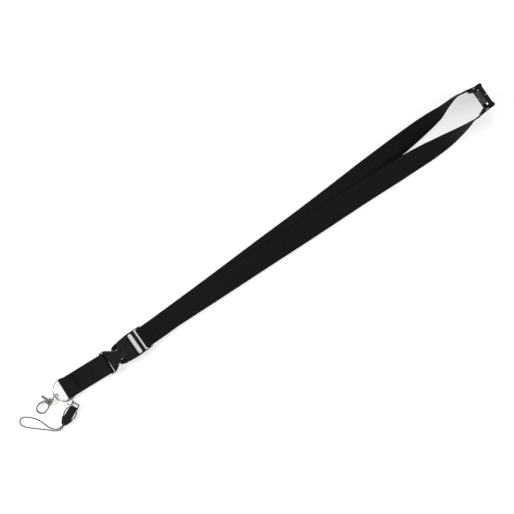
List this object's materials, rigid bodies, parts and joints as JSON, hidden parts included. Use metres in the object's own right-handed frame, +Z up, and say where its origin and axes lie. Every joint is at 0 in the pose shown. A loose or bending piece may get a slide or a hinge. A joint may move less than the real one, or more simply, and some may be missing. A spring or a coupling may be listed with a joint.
{
  "type": "lanyard",
  "caption": "Flat webbing neck lanyard lying on a surface, with a breakaway clip, a side-release buckle, a swivel lobster hook on a split ring and a quick-release cord loop.",
  "frame": {"origin": "centre of the footprint, on the surface that the lanyard lies on", "axes": "+X along the lanyard from the hook end to the breakaway clip, +Y across it, +Z up"},
  "size_m": [0.6514, 0.057, 0.0285],
  "materials": {
    "webbing": "matte twill-woven polyester",
    "thread": "matte sewing thread",
    "clip_plastic": "satin moulded",
    "acetal": "satin moulded",
    "nickel": "bright nickel plate, slightly warm",
    "steel": "plain",
    "cord": "braided cord"
  },
  "bodies": {
    "neck": {"neck_strap_left": "webbing", "neck_strap_right": "webbing", "neck_seam": "thread", "clip_socket": "clip_plastic", "buckle_frame": "acetal"},
    "clip_half": {"clip_plug": "clip_plastic"},
    "arm_left": {"buckle_arm_left": "acetal"},
    "arm_right": {"buckle_arm_right": "acetal"},
    "tab": {"buckle_socket": "acetal", "tab_strap": "webbing", "tab_seam": "thread"},
    "ring": {"carrier_ring": "nickel"},
    "swivel": {"hook_swivel": "nickel"},
    "hook": {"hook_body": "nickel", "hook_lever_pin": "steel", "hook_lever_spring": "steel"},
    "lever": {"hook_lever": "nickel"},
    "link": {"small_ring": "nickel"},
    "small_plug": {"mini_plug": "acetal"},
    "small_arm_left": {"mini_arm_left": "acetal"},
    "small_arm_right": {"mini_arm_right": "acetal"},
    "loop": {"mini_socket": "acetal", "cord_crimp": "steel", "phone_cord": "cord"}
  },
  "joints": [
    {"name": "buckle_release", "type": "slide", "parent": "neck", "child": "tab", "axis": [-1, 0, 0], "range_m": [0, 0.025], "deforming": ["buckle_arm_left", "buckle_arm_right"]},
    {"name": "buckle_press_left", "type": "hinge", "parent": "neck", "child": "arm_left", "pos_m": [-0.18394, 0.01391, 0.0041], "axis": [0, 0, 1], "range_deg": [0, 6], "stiffness_Nm_per_rad": 0.5},
    {"name": "buckle_press_right", "type": "hinge", "parent": "neck", "child": "arm_right", "pos_m": [-0.18394, -0.00669, 0.0041], "axis": [0, 0, -1], "range_deg": [0, 6], "stiffness_Nm_per_rad": 0.5},
    {"name": "breakaway_release", "type": "slide", "parent": "neck", "child": "clip_half", "axis": [0, -1, 0], "range_m": [0, 0.014], "deforming": ["neck_strap_right"]},
    {"name": "ring_lift", "type": "hinge", "parent": "tab", "child": "ring", "pos_m": [-0.25788, 0.00602, 0.00265], "axis": [0.0588, 0.9983, 0], "range_deg": [0, 45], "deforming": ["tab_strap"]},
    {"name": "hook_swing", "type": "hinge", "parent": "ring", "child": "swivel", "pos_m": [-0.28636, 0.00666, 0.0029], "axis": [0, 1, 0], "range_deg": [0, 60]},
    {"name": "hook_spin", "type": "hinge", "parent": "swivel", "child": "hook", "pos_m": [-0.28599, 0.00591, 0.00305], "axis": [-0.9965, -0.0837, 0], "continuous": true},
    {"name": "hook_open", "type": "hinge", "parent": "hook", "child": "lever", "pos_m": [-0.29476, 0.00517, 0.00305], "axis": [0, 0, -1], "range_deg": [0, 16], "stiffness_Nm_per_rad": 0.02},
    {"name": "link_slide_round", "type": "hinge", "parent": "ring", "child": "link", "pos_m": [-0.27296, 0.00666, 0.00265], "axis": [0, 0, -1], "range_deg": [0, 15]},
    {"name": "small_buckle_swing", "type": "hinge", "parent": "link", "child": "small_plug", "pos_m": [-0.27435, -0.01212, 0.0033], "axis": [0.4099, -0.9121, 0], "range_deg": [0, 8]},
    {"name": "small_buckle_release", "type": "slide", "parent": "small_plug", "child": "loop", "axis": [-0.9121, -0.4099, 0], "range_m": [0, 0.012], "deforming": ["mini_arm_left", "mini_arm_right"]},
    {"name": "small_press_left", "type": "hinge", "parent": "small_plug", "child": "small_arm_left", "pos_m": [-0.27599, -0.02163, 0.0022], "axis": [0, 0, -1], "range_deg": [0, 2.5], "stiffness_Nm_per_rad": 0.2},
    {"name": "small_press_right", "type": "hinge", "parent": "small_plug", "child": "small_arm_right", "pos_m": [-0.28009, -0.01251, 0.0022], "axis": [0, 0, 1], "range_deg": [0, 2.5], "stiffness_Nm_per_rad": 0.2}
  ]
}
